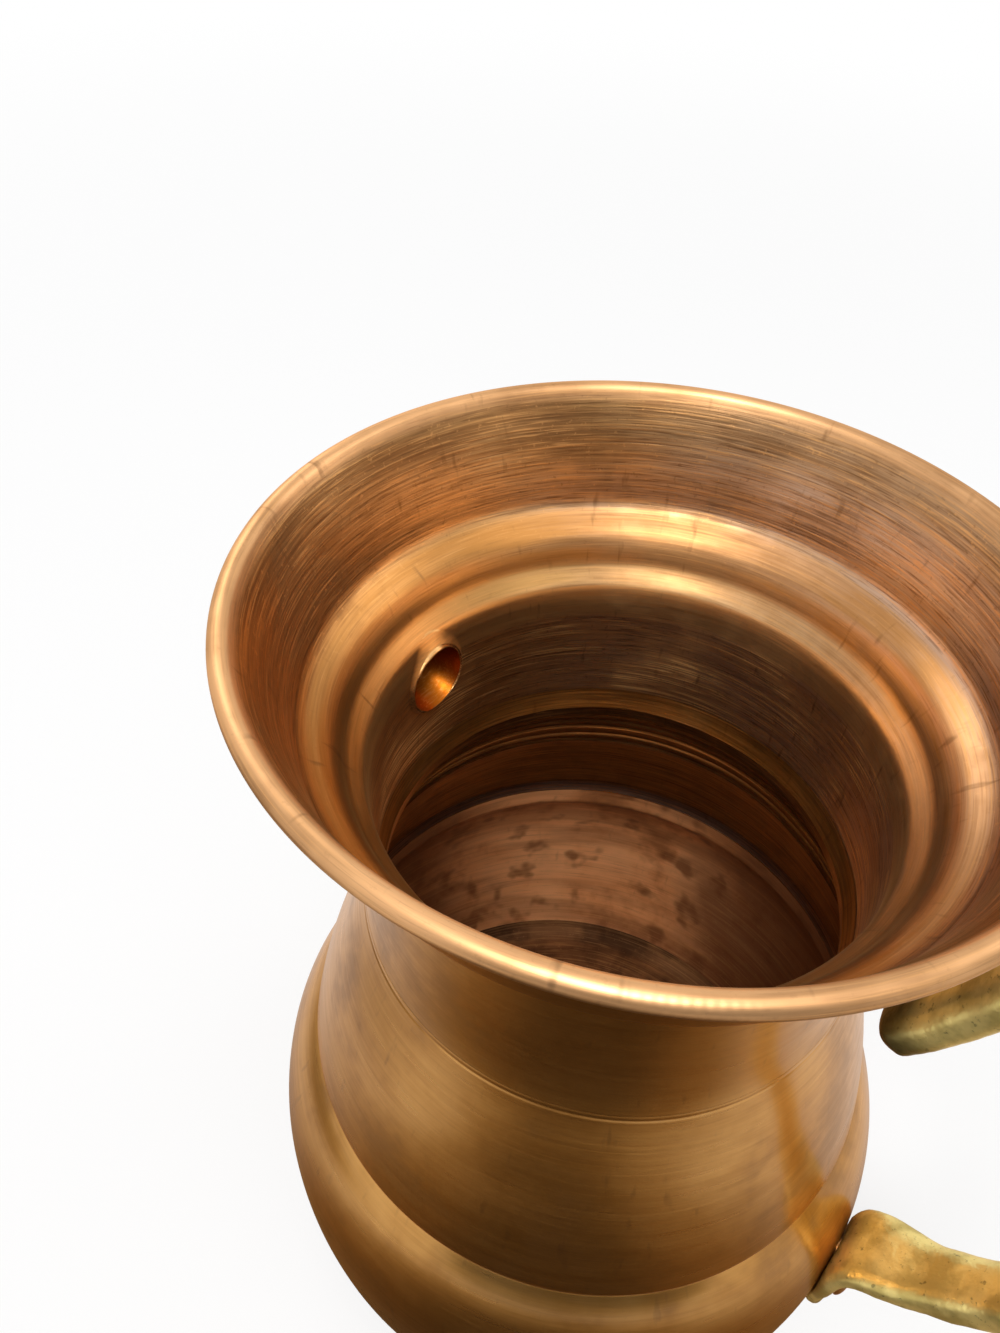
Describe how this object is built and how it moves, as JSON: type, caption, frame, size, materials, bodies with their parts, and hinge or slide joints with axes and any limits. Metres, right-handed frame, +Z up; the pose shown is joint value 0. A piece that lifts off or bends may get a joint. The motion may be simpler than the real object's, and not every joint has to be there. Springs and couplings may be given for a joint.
{
  "type": "pitcher",
  "caption": "Spun copper pitcher with a funnel mouth, stepped neck, round belly, short tube spout and cast brass handle.",
  "frame": {"origin": "centre of the flat base, on the surface that the pitcher stands on", "axes": "+Z up along the body's axis, +X towards the handle, -X towards the spout"},
  "size_m": [0.2038, 0.133, 0.1773],
  "materials": {
    "mouth_copper": "spun copper, satin, with fine turning lines",
    "wire_copper": "copper wire",
    "shoulder_copper": "spun copper, satin, lightly aged",
    "belly_copper": "spun copper, aged brown",
    "braze": "brazing metal",
    "spout_copper": "drawn copper tube",
    "cast_brass": "sand-cast brass, uneven",
    "rivet_copper": "hammered copper"
  },
  "bodies": {
    "root": {"mouth_shell": "mouth_copper", "rim_wire": "wire_copper", "shoulder_shell": "shoulder_copper", "belly_cup": "belly_copper", "base_pan": "belly_copper", "waist_braze_ring": "braze", "belly_braze_ring": "braze", "spout_tube": "spout_copper", "spout_flange": "spout_copper", "handle": "cast_brass", "handle_lug": "cast_brass", "lower_rivet_top": "rivet_copper", "lower_rivet_bottom": "rivet_copper", "lower_rove_top": "rivet_copper", "lower_rove_bottom": "rivet_copper"}
  },
  "joints": []
}
